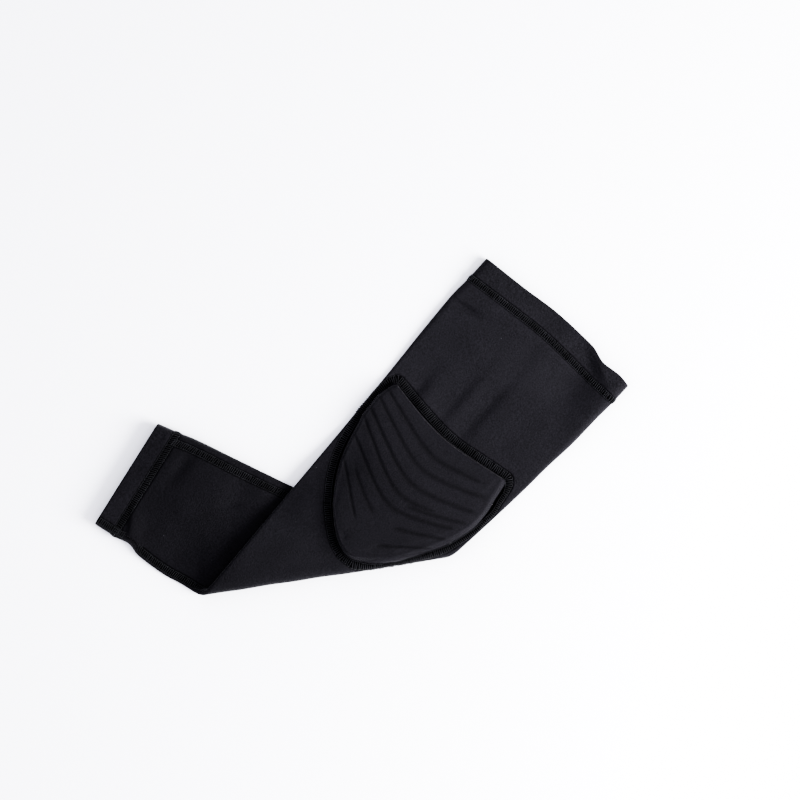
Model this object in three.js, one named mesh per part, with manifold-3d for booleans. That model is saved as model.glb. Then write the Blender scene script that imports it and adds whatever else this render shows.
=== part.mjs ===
// Padded arm sleeve: a tapered tube of stretch knit with a ribbed foam pad at the elbow. It lies flat on a
// table at Z = 0, with its forearm end folded under along one slanting crease. Millimetres, +Z up, +X towards
// the upper arm.
//
// Each piece is drawn on the unfolded sleeve first. There, "along" runs from the upper opening to the wrist,
// "across" from the straight edge of the flattened tube to the tapering one, and "lift" goes up from the
// middle of the tube, positive on the elbow side. layDown() then folds the sleeve at the crease and lays it
// down.

import * as THREE from "three";
import { mergeVertices } from "three/addons/utils/BufferGeometryUtils.js";
import Module from "manifold-3d";

const { clamp, degToRad, lerp, smoothstep } = THREE.MathUtils;

// One thickness of knit, and the gap that the pieces keep.
const PLY = 1;
const GAP = 0.3;
const LENGTH = 428.5;
const UPPER_HEM = 20;
const WRIST_HEM = 16.5;
const SEAM_INSET = 8;
// The unfolded place that becomes the middle of the part's footprint.
const ORIGIN = { along: 169.73, across: 17.05 };

// The flattened tube: where its two edges lie across, and half of its outer thickness.
const TUBE = [
  { along: 0, left: 0.4, right: 142.2, half: 6 },
  { along: 20, left: -1.2, right: 141.4, half: 6 },
  { along: 40, left: -2.1, right: 139.5, half: 5.2 },
  { along: 62, left: -2.1, right: 138.6, half: 4.4 },
  { along: 90, left: -1.4, right: 135.4, half: 3 },
  { along: 115, left: 0, right: 132.4, half: 2.2 },
  { along: 190, left: 0, right: 123, half: 2.2 },
  { along: 346, left: 0.7, right: 103.4, half: 2.2 },
  { along: 364, left: -0.3, right: 101.6, half: 3.2 },
  { along: 388, left: 1.5, right: 99.5, half: 4.6 },
  { along: 400, left: 5.4, right: 98, half: 4.9 },
  { along: 410, left: 4.3, right: 96.1, half: 5 },
  { along: LENGTH, left: 4.4, right: 93.4, half: 5 },
];

// How far the upper hem swings along the sleeve, over the width from left to right: its free edge on the
// front and on the back, and its seam on the front.
const MOUTH = [
  { share: 0, front: 0.4, back: 0.4, seam: 0 },
  { share: 0.25, front: -0.8, back: 1, seam: -2 },
  { share: 0.47, front: -2.7, back: 1.8, seam: -3.2 },
  { share: 0.72, front: -0.2, back: 2.6, seam: -1.2 },
  { share: 0.83, front: 4.5, back: 3, seam: 0 },
  { share: 0.92, front: 8, back: 3.3, seam: 0.8 },
  { share: 1, front: 4.5, back: 3.4, seam: 1.4 },
];
const SWING_REACH = 60;

// Shallow troughs in the cloth, and a puff where the depth is negative: each has a middle, a turn away from
// the sleeve's axis, a size and a depth.
const DENTS = [
  { face: "front", along: 98, across: 29, turn: 4, length: 11, width: 4.5, depth: 1.3 },
  { face: "front", along: 90, across: 57, turn: 1, length: 20, width: 5, depth: 1.7 },
  { face: "front", along: 84, across: 75, turn: 0, length: 24, width: 5, depth: 1.7 },
  { face: "front", along: 39, across: 12, turn: 100, length: 14, width: 4, depth: 1.4 },
  { face: "back", along: 397, across: 77, turn: 90, length: 16, width: 5, depth: 1.6 },
  { face: "back", along: 393, across: 19, turn: 80, length: 14, width: 8, depth: -1.3 },
];

// The crease, as its place on the straight edge and its lean: along for each millimetre across.
const CREASE = { along: 331.6, slant: -1.155 };
const BEND_RADIUS = 5.2;
const BEND_HALF = 2.2;
const BEND_ARC = Math.PI * BEND_RADIUS;
// The edge of the forearm underneath: past it the upper part comes down to the table, over the ramp's length.
const UNDER_EDGE = { along: 225.2, slant: -0.287, clear: 12, ramp: 78 };

// Sections of the tube, each with the number of cuts up to the next: a section starts on the straight edge
// and leans by its slant.
const SLANT_LENGTH = Math.hypot(1, CREASE.slant);
const BEND_START = CREASE.along - (BEND_RADIUS + BEND_HALF) * SLANT_LENGTH;
const BEND_END = BEND_START + BEND_ARC * SLANT_LENGTH;
const SECTIONS = [
  { start: UPPER_HEM + GAP, slant: 0, cuts: 8 },
  { start: 105, slant: 0, cuts: 9 },
  { start: BEND_START, slant: CREASE.slant, cuts: 8 },
  { start: BEND_END, slant: CREASE.slant, cuts: 8 },
  { start: LENGTH - WRIST_HEM - GAP, slant: 0, cuts: 0 },
];
const FRONT_CUTS = 18;
const BACK_CUTS = 10;
const TURN_CUTS = 6;
const HEM_CUTS = 3;
// Rounds of narrowing in on where a leaning section meets an edge, and how near two vertices are merged.
const EDGE_ROUNDS = 8;
const MERGE = 1e-4;

const PAD = { axis: 63.75, top: 123.4, tip: 236, height: 8, lip: 4, foot: 1.2, crown: 1.2 };
// The pad's outline: half its width at each place along.
const PAD_EDGE = [
  { along: 115.5, half: 53.6 },
  { along: 119, half: 56.8 },
  { along: 133.5, half: 59.3 },
  { along: 146, half: 60 },
  { along: 163, half: 56.6 },
  { along: 181.5, half: 49.5 },
  { along: 196.5, half: 42.8 },
  { along: 214.6, half: 30.3 },
];
// Curves over the pad, each from its middle to where it meets the sides; "round" softens the middle's turn.
const PAD_CURVES = [
  { middle: PAD.top, side: 115.5, round: 0.6 },
  { middle: 138, side: 123, round: 0.27 },
  { middle: 163.5, side: 144, round: 0.27 },
  { middle: 188.2, side: 166.5, round: 0.27 },
  { middle: 212, side: 190.5, round: 0.35 },
  { middle: PAD.tip, side: 214.6, round: 0.6 },
];
// Shares of the half width at which the pad is divided, mirrored about its axis, and of the lip at its ends.
const PAD_SHARES = [0.16, 0.32, 0.5, 0.68, 0.84, 0.93, 0.975, 1];
const LIP_SHARES = [0, 0.3, 1];
// The grooves between the ribs: the curve that each follows, and the shares of the half width that it lies
// between.
const GROOVES = [
  { middle: 138, from: 0, to: 0.86 },
  { middle: 150.4, from: 0, to: 0.86 },
  { middle: 163.5, from: 0, to: 0.88 },
  { middle: 176.2, from: 0, to: 0.86 },
  { middle: 188.2, from: 0, to: 0.86 },
  { middle: 203, from: 0.26, to: 0.84 },
  { middle: 217, from: 0.34, to: 0.92 },
];
const GROOVE = { depth: 1.4, reach: 3.2, fade: 0.08 };

const wasm = await Module();
wasm.setup();

// Reads a column of a table at a place between its rows, on a smooth curve that never overshoots them.
function read(table, key, column, at) {
  const last = table.length - 1;
  const place = clamp(at, table[0][key], table[last][key]);
  const i = table.findLastIndex((row, n) => n < last && row[key] <= place);
  const rise = (n) => (table[n + 1][column] - table[n][column]) / (table[n + 1][key] - table[n][key]);
  const slope = (n) => {
    if (n === 0) return rise(0);
    if (n === last) return rise(last - 1);
    const [before, after] = [rise(n - 1), rise(n)];
    return before * after <= 0 ? 0 : (2 * before * after) / (before + after);
  };
  const span = table[i + 1][key] - table[i][key];
  const t = (place - table[i][key]) / span;
  const bend = span * t * (1 - t) * (slope(i) * (1 - t) - slope(i + 1) * t);
  return lerp(table[i][column], table[i + 1][column], t * t * (3 - 2 * t)) + bend;
}

function halfThickness(along) {
  return read(TUBE, "along", "half", along);
}

// Folds a point of the unfolded sleeve at the crease and lays it on the table.
function layDown({ along, across, lift, half }) {
  const normal = { along: 1 / SLANT_LENGTH, across: -CREASE.slant / SLANT_LENGTH };
  const past = (along - BEND_START) * normal.along + across * normal.across;
  const spare = half - BEND_HALF;
  let shift = 0;
  let height = 0;
  if (past <= 0) {
    const edge = UNDER_EDGE.along + UNDER_EDGE.slant * across;
    const clear = (edge - along) / Math.hypot(1, UNDER_EDGE.slant) - UNDER_EDGE.clear;
    const drop = 2 * BEND_RADIUS * smoothstep(clear, 0, UNDER_EDGE.ramp);
    height = 2 * BEND_RADIUS + BEND_HALF + lift + spare - drop;
  } else if (past < BEND_ARC) {
    const turn = past / BEND_RADIUS;
    shift = (BEND_RADIUS + lift) * Math.sin(turn) - past;
    height = BEND_RADIUS + BEND_HALF + (BEND_RADIUS + lift) * Math.cos(turn);
  } else {
    shift = BEND_ARC - 2 * past;
    height = BEND_HALF - lift + spare;
  }
  return [
    ORIGIN.along - along - shift * normal.along,
    ORIGIN.across - across - shift * normal.across,
    height,
  ];
}

// How deep the cloth of one face is dented at a place.
function dentDepth(face, along, across) {
  let depth = 0;
  for (const dent of DENTS.filter((one) => one.face === face)) {
    const turn = degToRad(dent.turn);
    const [ahead, aside] = [along - dent.along, across - dent.across];
    const lengthwise = ahead * Math.cos(turn) + aside * Math.sin(turn);
    const sideways = aside * Math.cos(turn) - ahead * Math.sin(turn);
    depth += dent.depth * Math.exp(-((lengthwise / dent.length) ** 2) - (sideways / dent.width) ** 2);
  }
  return depth;
}

// Where a leaning section meets the left or the right edge of the tube.
function edgeOf(section, side) {
  let across = 0;
  for (let step = 0; step < EDGE_ROUNDS; step += 1) {
    across = read(TUBE, "along", side, section.start + section.slant * across);
  }
  return across;
}

// The key sections with the cuts between them, in order.
function sectionsBetween(keys) {
  return keys.flatMap((key, n) => {
    const next = keys[n + 1] ?? key;
    return Array.from({ length: Math.max(key.cuts, 1) }, (_, step) => {
      const t = step / Math.max(key.cuts, 1);
      return { start: lerp(key.start, next.start, t), slant: lerp(key.slant, next.slant, t) };
    });
  });
}

// Stations round a section go from the left edge over the front to the right edge, and on over the back.
// One on a flat face has a share of the way between two margins, and one on a rounded edge a turn in degrees.
function flatStations(face, cuts, margin) {
  const shares = Array.from({ length: cuts + 1 }, (_, n) => n / cuts);
  if (face === "back") shares.reverse();
  return shares.map((share) => ({ face, share, margin }));
}

function turnStations(edge) {
  return Array.from({ length: TURN_CUTS }, (_, n) => {
    const turn = edge === "left" ? 270 - (180 * n) / TURN_CUTS : 90 - (180 * (n + 1)) / TURN_CUTS;
    return { edge, turn };
  });
}

// How far a place near the upper opening swings along the sleeve.
function mouthSwing(along, share, frontness) {
  const column = (name) => read(MOUTH, "share", name, share);
  const edge = lerp(column("back"), column("front"), frontness);
  const seam = frontness * column("seam");
  if (along < UPPER_HEM) return lerp(edge, seam, along / UPPER_HEM);
  return seam * (1 - smoothstep(along, UPPER_HEM, UPPER_HEM + SWING_REACH));
}

// A point of a section at a station, on the unfolded sleeve, a given depth inside the outer surface.
function sectionPoint(section, station, depth) {
  const [left, right] = [edgeOf(section, "left"), edgeOf(section, "right")];
  const alongAt = (across) => section.start + section.slant * across;
  const [halfLeft, halfRight] = [halfThickness(alongAt(left)), halfThickness(alongAt(right))];
  let half = station.edge === "left" ? halfLeft : halfRight;
  let frontness = station.face === "front" ? 1 : 0;
  let across = 0;
  let lift = 0;
  if (station.edge) {
    const centre = station.edge === "left" ? left + half : right - half;
    const turn = degToRad(station.turn);
    across = centre + (half - depth) * Math.cos(turn);
    lift = (half - depth) * Math.sin(turn);
    frontness = (1 + Math.sin(turn)) / 2;
  } else {
    across = lerp(left + (station.margin ?? halfLeft), right - (station.margin ?? halfRight), station.share);
    half = halfThickness(alongAt(across));
    const reach = half - depth - dentDepth(station.face, alongAt(across), across);
    lift = station.face === "front" ? reach : -reach;
  }
  const swing = mouthSwing(alongAt(across), (across - left) / (right - left), frontness);
  return { along: alongAt(across) + swing, across, lift, half };
}

// One wall between an outer and an inner grid of unfolded points, laid down; a ring closes on itself.
function wallGeometry(outer, inner, ring = false) {
  const [rows, columns] = [outer.length, outer[0].length];
  const positions = [...outer.flat(), ...inner.flat()].flatMap(layDown);
  const at = (layer, row, column) => (layer * rows + row) * columns + (column % columns);
  const triangles = [];
  const quad = (a, b, c, d) => triangles.push(a, b, c, a, c, d);
  const end = ring ? columns : columns - 1;
  for (let row = 0; row < rows - 1; row += 1) {
    for (let column = 0; column < end; column += 1) {
      quad(at(0, row, column), at(0, row + 1, column), at(0, row + 1, column + 1), at(0, row, column + 1));
      quad(at(1, row, column), at(1, row, column + 1), at(1, row + 1, column + 1), at(1, row + 1, column));
    }
    if (!ring) {
      quad(at(0, row, 0), at(1, row, 0), at(1, row + 1, 0), at(0, row + 1, 0));
      quad(at(0, row, end), at(0, row + 1, end), at(1, row + 1, end), at(1, row, end));
    }
  }
  for (let column = 0; column < end; column += 1) {
    const last = rows - 1;
    quad(at(0, 0, column), at(0, 0, column + 1), at(1, 0, column + 1), at(1, 0, column));
    quad(at(0, last, column), at(1, last, column), at(1, last, column + 1), at(0, last, column + 1));
  }
  const geometry = new THREE.BufferGeometry();
  geometry.setAttribute("position", new THREE.Float32BufferAttribute(positions, 3));
  geometry.setIndex(triangles);
  return mergeVertices(geometry, MERGE);
}

// Cuts one closed geometry out of another.
function cutOut(geometry, cutter) {
  const [body, tool] = [geometry, cutter].map((one) => {
    const vertProperties = one.getAttribute("position").array;
    const triVerts = new Uint32Array(one.index.array);
    return new wasm.Manifold(new wasm.Mesh({ numProp: 3, vertProperties, triVerts }));
  });
  const mesh = body.subtract(tool).getMesh();
  const result = new THREE.BufferGeometry();
  result.setAttribute("position", new THREE.BufferAttribute(mesh.vertProperties, 3));
  return result.setIndex(new THREE.BufferAttribute(mesh.triVerts, 1));
}

function tubeWall(sections, stations, thickness, ring) {
  const grid = (depth) => sections.map((section) => stations.map((one) => sectionPoint(section, one, depth)));
  return wallGeometry(grid(0), grid(thickness), ring);
}

function frontPanel() {
  const stations = [
    { face: "back", share: 0, margin: SEAM_INSET },
    ...turnStations("left"),
    ...flatStations("front", FRONT_CUTS),
    ...turnStations("right"),
    { face: "back", share: 1, margin: SEAM_INSET },
  ];
  const wall = tubeWall(sectionsBetween(SECTIONS), stations, PLY);
  const hole = wallGeometry(padGrid(GAP, () => PLY), padGrid(GAP, () => -2 * PLY));
  return cutOut(wall, hole);
}

function backPanel() {
  return tubeWall(sectionsBetween(SECTIONS), flatStations("back", BACK_CUTS, SEAM_INSET + GAP), PLY);
}

// A two-ply ring round the tube between two places along it.
function hemRing(from, to) {
  const keys = [
    { start: from, slant: 0, cuts: HEM_CUTS },
    { start: to, slant: 0, cuts: 0 },
  ];
  const stations = [
    ...turnStations("left"),
    ...flatStations("front", FRONT_CUTS),
    ...turnStations("right"),
    ...flatStations("back", BACK_CUTS).slice(1, -1),
  ];
  return tubeWall(sectionsBetween(keys), stations, 2 * PLY, true);
}

// A place on the pad: on the curve through a middle, at a share of its half width, with the outline grown.
function padPlace(middle, share, grow) {
  const [side, round] = ["side", "round"].map((column) => read(PAD_CURVES, "middle", column, middle));
  const half = read(PAD_EDGE, "along", "half", side);
  const sag = 1 - (Math.hypot(share, round) - round) / (Math.hypot(1, round) - round);
  const push = grow * ((2 * (middle - PAD.top)) / (PAD.tip - PAD.top) - 1);
  return { along: lerp(side, middle, sag) + push, across: PAD.axis + (half + grow) * share, half };
}

// How high the pad stands above the front cloth: a rounded lip, a crowned top and the grooves between ribs.
function padHeight(middle, share) {
  const { half } = padPlace(middle, share, 0);
  const inside = Math.min((1 - Math.abs(share)) * half, middle - PAD.top, PAD.tip - middle);
  const away = 1 - clamp(inside / PAD.lip, 0, 1);
  let height = lerp(PAD.foot, PAD.height, Math.sqrt(1 - away * away));
  height += PAD.crown * (1 - share * share) * (1 - away);
  for (const groove of GROOVES) {
    const across = Math.max(1 - Math.abs(middle - groove.middle) / GROOVE.reach, 0);
    const started = groove.from > 0 ? smoothstep(Math.abs(share), groove.from - GROOVE.fade, groove.from) : 1;
    const ended = 1 - smoothstep(Math.abs(share), groove.to, groove.to + GROOVE.fade);
    height -= GROOVE.depth * across * started * ended;
  }
  return height;
}

// The pad's grid of unfolded points, each lifted above the front cloth by what heightAt gives.
function padGrid(grow, heightAt) {
  const lips = LIP_SHARES.map((share) => share * PAD.lip);
  const middles = [
    ...lips.map((lip) => PAD.top + lip),
    ...GROOVES.flatMap(({ middle }) => [middle - GROOVE.reach, middle, middle + GROOVE.reach]),
    ...lips.map((lip) => PAD.tip - lip).reverse(),
  ];
  const shares = [...PAD_SHARES.map((share) => -share).reverse(), 0, ...PAD_SHARES];
  return middles.map((middle) => {
    return shares.map((share) => {
      const { along, across } = padPlace(middle, share, grow);
      const half = halfThickness(along);
      return { along, across, lift: half + heightAt(middle, share), half };
    });
  });
}

function elbowPad() {
  return wallGeometry(padGrid(0, padHeight), padGrid(0, () => -PLY));
}

const knit = new THREE.MeshStandardMaterial({ color: 0x201f24, roughness: 0.85, metalness: 0 });
const hemKnit = new THREE.MeshStandardMaterial({ color: 0x242328, roughness: 0.85, metalness: 0 });
const padKnit = new THREE.MeshStandardMaterial({ color: 0x1d1c21, roughness: 0.75, metalness: 0 });

const sleeve = new THREE.Group();
const pieces = [
  { name: "front_panel", geometry: frontPanel(), material: knit },
  { name: "back_panel", geometry: backPanel(), material: knit },
  { name: "elbow_pad", geometry: elbowPad(), material: padKnit },
  { name: "upper_hem", geometry: hemRing(0, UPPER_HEM), material: hemKnit },
  { name: "wrist_hem", geometry: hemRing(LENGTH - WRIST_HEM, LENGTH), material: hemKnit },
];
for (const { name, geometry, material } of pieces) {
  const mesh = new THREE.Mesh(geometry, material);
  mesh.name = name;
  sleeve.add(mesh);
}

export default sleeve;
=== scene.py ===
"""Padded arm sleeve in black stretch knit: the cloth, the pad, the seams, their finishes and the scene.

The sleeve is drawn unfolded first, in millimetres, as its solids are. There, "along" runs from the upper
opening to the wrist, "reach" runs across the front cloth and on round either edge to the back, and "above"
goes out of the cloth. lay_down() then folds the sleeve at its crease and lays it on the table.
"""

import math

import bpy
import numpy as np
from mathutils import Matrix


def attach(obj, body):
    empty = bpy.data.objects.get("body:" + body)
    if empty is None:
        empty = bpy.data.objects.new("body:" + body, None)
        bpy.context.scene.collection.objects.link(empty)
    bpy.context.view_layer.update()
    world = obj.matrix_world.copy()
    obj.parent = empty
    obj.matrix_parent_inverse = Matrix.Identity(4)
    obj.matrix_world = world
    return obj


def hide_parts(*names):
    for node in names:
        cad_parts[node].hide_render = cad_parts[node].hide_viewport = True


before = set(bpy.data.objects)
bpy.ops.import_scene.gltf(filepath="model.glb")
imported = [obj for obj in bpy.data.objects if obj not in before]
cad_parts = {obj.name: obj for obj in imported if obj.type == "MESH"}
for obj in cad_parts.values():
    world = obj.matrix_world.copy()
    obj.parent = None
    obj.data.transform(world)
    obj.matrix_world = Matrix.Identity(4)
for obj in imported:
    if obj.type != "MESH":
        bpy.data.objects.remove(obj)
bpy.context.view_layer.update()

MM = 0.001


def table(columns, *rows):
    """A short table, kept as its named columns."""
    return dict(zip(columns.split(), np.array(rows, float).T))


# The sleeve's sizes in millimetres
PLY = 1.0
GAP = 0.3
LENGTH = 428.5
UPPER_HEM = 20.0
WRIST_HEM = 16.5
SEAM_INSET = {"left": 4.2, "right": 8.0}
ORIGIN = {"along": 169.73, "across": 17.05}

# The flattened tube: where its two edges lie across, and half of its outer thickness
TUBE = table(
    "along left right half",
    (0, -0.6, 142.2, 6),
    (20, -1.2, 141.4, 6),
    (40, -2.6, 139.5, 5.2),
    (62, -2.4, 138.6, 4.4),
    (90, -1.7, 135.4, 3),
    (115, -1.0, 133.2, 2.2),
    (190, 0, 123.7, 2.2),
    (346, 0.7, 103.4, 2.2),
    (364, -0.3, 101.6, 3.2),
    (388, 1.5, 99.5, 4.6),
    (400, 5.4, 98, 4.9),
    (410, 4.3, 96.1, 5),
    (LENGTH, 4.4, 93.4, 5),
)
# How far the upper hem swings along the sleeve: its free edge on the front and back, and its seam
MOUTH = table(
    "share front back seam",
    (0, 0.4, 0.4, 0),
    (0.25, -0.8, 1, -2),
    (0.47, -2.7, 1.8, -3.2),
    (0.72, -0.9, 2.4, -1.2),
    (0.83, 3.6, 3.8, 0),
    (0.92, 2.8, 3.4, 0.8),
    (1, 4.5, 4.6, 1.4),
)
SWING_REACH = 60.0

# Troughs in the cloth, with a puff where the depth is negative. The turn is away from the sleeve's axis,
# and the two widths are those of a trough's left and right slope.
FRONT_DENTS = table(
    "along across turn length left right depth",
    (106, 23, 6, 20, 13, 5.5, 2.6),
    (94, 50, 0, 28, 14, 5.5, 2.6),
    (88, 71, -2, 36, 13, 5.5, 2.3),
    (8, 64, 12, 14, 22, 18, 3.4),
    (12.3, 111.3, 66, 20, 26, 7, 4.2),
    (6.7, 120.5, 62, 7, 1.8, 1.8, -0.9),
    (34, 112, 12, 32, 55, 18, 3.4),
    (34, 135.5, -3, 36, 22, 8, -3.2),
    (39.5, 10.5, 98, 13, 2.6, 2.0, 5.2),
    (34, 70, 92, 26, 5, 5, 0.5),
    (113, 6, 35, 5, 1.8, 1.8, 0.9),
    (109.5, 3.5, -50, 5, 1.7, 1.7, -0.7),
    (118, 4, 5, 6, 1.8, 1.8, 0.8),
    (115, 11, -30, 5, 1.8, 1.8, -0.7),
    (123, 2.5, 10, 5, 1.6, 1.6, -0.6),
)
BACK_DENTS = table(
    "along across turn length left right depth",
    (396, 77, 95, 18, 5, 5, 1.5),
    (405.5, 19.5, 66, 11, 1.6, 8, -2.6),
    (397, 9, 28, 9, 2.0, 7, -2.2),
    (350, 71, 140, 8, 3, 3, 0.9),
    (330, 45, 60, 30, 8, 8, 0.8),
    (376, 48, 20, 22, 10, 10, -0.8),
    (362, 74, 0, 34, 32, 32, -3.6),
    (347, 18, 40, 14, 9, 6, 1.8),
    (331, 96, 20, 12, 12, 8, -2.0),
)
# Long shallow ripples over all the cloth: wavelength, heading away from the axis, phase and height
RIPPLES = table(
    "wave heading phase height",
    (61, 14, 0.4, 0.16),
    (43, -38, 2.1, 0.12),
    (29, 63, 4.0, 0.08),
    (19, 8, 5.3, 0.05),
)

# Small puckers beside the seams: two waves along a seam, and how far they reach from it
PUCKERS = table("wave phase height", (7.3, 0.6, 0.16), (4.6, 2.9, 0.10))
PUCKER_REACH = 4.5
# Edges that droop towards the table, by a share of their height
PRESSED = table(
    "along across length width share",
    (12, 70, 60, 160, 0.3),
    (70, -5, 70, 70, 0.4),
    (192, -5, 30, 45, 0.45),
    (230, -2, 22, 16, 0.35),
    (332, -50, 45, 38, 0.45),
    (318, -28, 24, 16, 0.35),
)

# The crease where the forearm end is folded under
CREASE = {"along": 331.6, "slant": -1.155}
BEND_RADIUS = 5.2
BEND_HALF = 2.2
BEND_ARC = math.pi * BEND_RADIUS
SLANT_LENGTH = math.hypot(1, CREASE["slant"])
BEND_START = CREASE["along"] - (BEND_RADIUS + BEND_HALF) * SLANT_LENGTH
UNDER_EDGE = {"along": 225.2, "slant": -0.287, "clear": 10.0, "ramp": 62.0}

# The elbow pad: its outline, the curves over it, and the grooves between its ribs
PAD = {"axis": 63.75, "top": 123.4, "tip": 237.5, "height": 7.6, "foot": 4.0, "crown": 0.7}
# How wide the pad's rounded lip is on each side, and how round it is
PAD_LIP = {
    "left": 2.2,
    "right": 3.4,
    "low_right": 8.0,
    "top": 1.7,
    "tip": 2.6,
    "tip_right": 7.5,
    "power": 1.15,
}
# Where the lip widens down the right side, and across the tip
WIDER_LIP = {"down": (165, 225), "across": (0.0, 0.6)}
# The outline's half width to either side of the axis
PAD_EDGE = table(
    "along left right",
    (115.5, 54.6, 53.6),
    (119, 57, 55.6),
    (133.5, 60, 57.4),
    (146, 60, 59.2),
    (157, 57.8, 59.3),
    (163, 56.6, 58.3),
    (181.5, 51.8, 52.3),
    (196.5, 45.3, 43.8),
    (214.6, 33.5, 31.6),
)
# The curves' places at the axis and at the sides, how round they are, and how far the right side leans down
PAD_CURVES = table(
    "middle side round lean",
    (PAD["top"], 115.5, 0.6, 2.4),
    (138, 123, 0.27, 1.2),
    (163.5, 144, 0.27, 0),
    (188.2, 166.5, 0.27, 0),
    (212, 190.5, 0.35, 0),
    (PAD["tip"], 214.6, 0.8, 0),
)
# Each groove's line over the pad, as a curve that tilts and bends with the share, where it starts and
# ends, and how deep it is against the others
GROOVES = table(
    "middle tilt bend start end deep",
    (139.6, 2.1, 0.0, -0.93, 0.66, 1.0),
    (152.2, 2.4, -1.3, -0.93, 0.82, 1.0),
    (165.4, 4.3, -0.8, -0.93, 0.82, 1.3),
    (177.3, 3.4, -4.4, -0.90, 0.42, 1.1),
    (182.0, -2.0, 0.0, 0.22, 0.84, 0.9),
    (188.4, 1.0, -1.6, -0.93, 0.76, 1.1),
    (201.2, 3.0, -2.0, -0.66, -0.16, 0.7),
    (202.0, -2.4, 0.0, 0.30, 0.86, 0.9),
    (219.9, 16.0, 0.0, -0.88, -0.36, 0.9),
    (223.5, -12.0, 0.0, 0.34, 0.86, 1.0),
)
# shade_reach: how far from a groove its painted shade reaches
GROOVE = {"depth": 0.5, "reach": 2.9, "fade": 0.14, "shade_reach": 5.0}
# The pad's cover as simulated cloth: held round its foot and pushed out from inside
SWELL = {
    "pressure": 12.0,
    "frames": 20,
    "quality": 5,
    "mass": 0.05,
    "stiffness": 12.0,
    "smooth": 12,
    "ease": 10,
    "cap": 0.5,
    "held_rows": 2,
}

# The sewn seams: a band of threads on the cloth, with a row of needle stitches down each side
BAND = {"width": 5.2, "pitch": 1.55, "rise": 0.6, "thread": 0.26}
NEEDLE = {"pitch": 2.3, "length": 2.0, "rise": 0.3, "thread": 0.24, "inset": 0.2, "above": 0.1}
SEAM_JITTER = {"seed": 7, "length": 0.07, "place": 0.09, "turn": 0.12}
# The pad's seam by its share of the way round from the upper left corner: its gap to the pad, and its width
PAD_SEAM = table(
    "share gap width",
    (0, 0.5, 6.0),
    (0.08, 0.9, 6.2),
    (0.16, 0.2, 6.2),
    (0.2, -0.3, 7.0),
    (0.27, -0.3, 6.4),
    (0.295, 2.2, 3.8),
    (0.33, 2.4, 3.4),
    (0.36, 0.8, 3.6),
    (0.4, 0.3, 4.0),
    (0.44, 0.4, 4.2),
    (0.5, 0.2, 4.6),
    (0.6, 0.4, 5.2),
    (0.7, 0.9, 5.2),
    (0.78, 1.6, 5.2),
    (0.85, 1.5, 5.2),
    (0.9, 0.6, 5.0),
    (0.95, 0.3, 4.6),
    (1, 0.5, 6.0),
)
TRENCH = {"depth": 0.8, "reach": 1.8}
UPPER_STITCH = 19.4
WRIST_STITCH = LENGTH - WRIST_HEM
# The stretch of the left long seam that puffed cloth covers
COVERED_SEAM = (392.0, 405.0)

# How finely the cloth, the pad and the stitches are divided
ROW_STEP = 1.25
EDGE_CUTS = 15
TURN_CUTS = 9
FRONT_CUTS = 106
BACK_CUTS = 84
HEM_EDGE_CUTS = 9
HEM_LINE_CUTS = 400
OUTLINE_CUTS = 160
OUTLINE_STEP = 0.5
OUTLINE_SMOOTH = 4
PAD_CUTS = {"edge": 4.0, "rows": 76, "columns": 82}
PAD_LIP_CUTS = np.array([0, 0.06, 0.2, 0.42, 0.7])
STITCH_CUTS = 6
SMALL = 0.05
CHUNK = 4000
CORNER_BLEND = 4
# The lowest that cloth and thread may lie above the table
CLOTH_REST = 0.1
THREAD_REST = 0.02

# The knits; "fore" is the colour's share that painted shade leaves at the forearm; "column" is a loop's width
KNITS = {
    "sleeve_knit": {
        "colour": (0.0138, 0.0129, 0.0156),
        "fore": 0.64,
        "column": 0.75,
        "grain": 1.7,
        "rough": 0.6,
        "gloss": 0.07,
    },
    "hem_knit": {
        "colour": (0.0134, 0.0125, 0.0151),
        "fore": 0.85,
        "column": 0.75,
        "grain": 2.2,
        "rough": 0.6,
        "gloss": 0.07,
    },
    "pad_knit": {
        "colour": (0.0122, 0.0114, 0.0139),
        "fore": 0.74,
        "column": 0.6,
        "grain": 1.4,
        "rough": 0.5,
        "gloss": 0.06,
    },
}
# Painted shade darkening the cloth along a sewn seam, its trench by the pad and a pressed groove, and how far
# it draws in
SEWN = {"half": BAND["width"] / 2, "fade": 1.0, "dark": 0.12, "drawn": 0.7}
GROOVED = {"half": 0.0, "fade": 3.4, "dark": 0.62, "drawn": 0.0}
# Where that shade starts, from the seam's edge, and how narrow the drawn-in line is
SHADE_START = -0.2
DRAWN_NARROW = 1.3
# The knit's loops, its fibres' grain and mottling, and where painted shade deepens it, in metres along
LOOP = {"height": 0.1, "swell": 0.65, "row": 0.75}
GRAIN = {"scale": 950, "detail": 2, "bump": 0.5, "rough": 0.3}
MOTTLE = {"scale": 45, "detail": 3, "amount": 0.4}
PAINTED_FORE_SHADE_SPAN = {"start": 0.12, "end": 0.42}
SHEEN = {"weight": 0.1, "rough": 0.3}
LINT = {"scale": 98, "size": 0.035, "left_out": 0.72, "cover": 0.35, "colour": (0.11, 0.11, 0.12, 1)}
# The thread's twist and its two tones, the patches where it is worn, and the painted shade on it at the
# forearm
TWIST = {"scale": 900, "distortion": 2, "bump": 0.1}
TWIST_TONES = ((0.0078, 0.0078, 0.0102, 1), (0.0205, 0.0205, 0.0245, 1))
WORN = {"scale": 70, "range": 2.4, "start": -0.2}
THREAD_SHINE = {"rough": 0.6, "gloss": 0.35}
FORE_THREAD_SHADE = 0.68

# The photograph's view: straight down, with its up and right turned against the sleeve
VIEW = {"middle": (0.0464, -0.0017), "turn": -49.66, "width": 0.6, "height": 3.0, "sensor": 36.0}
KEY = {"azimuth": -69.0, "elevation": 28.0, "distance": 1.5, "size": 1.0, "power": 74.0}
FILL_STRENGTH = 1.42
FILL_COLOUR = (0.96, 0.96, 1.06, 1)
FLOOR = {"size": 6.0, "below": 0.2, "colour": (0.9, 0.9, 0.915, 1), "rough": 0.95, "gloss": 0.1}


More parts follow.
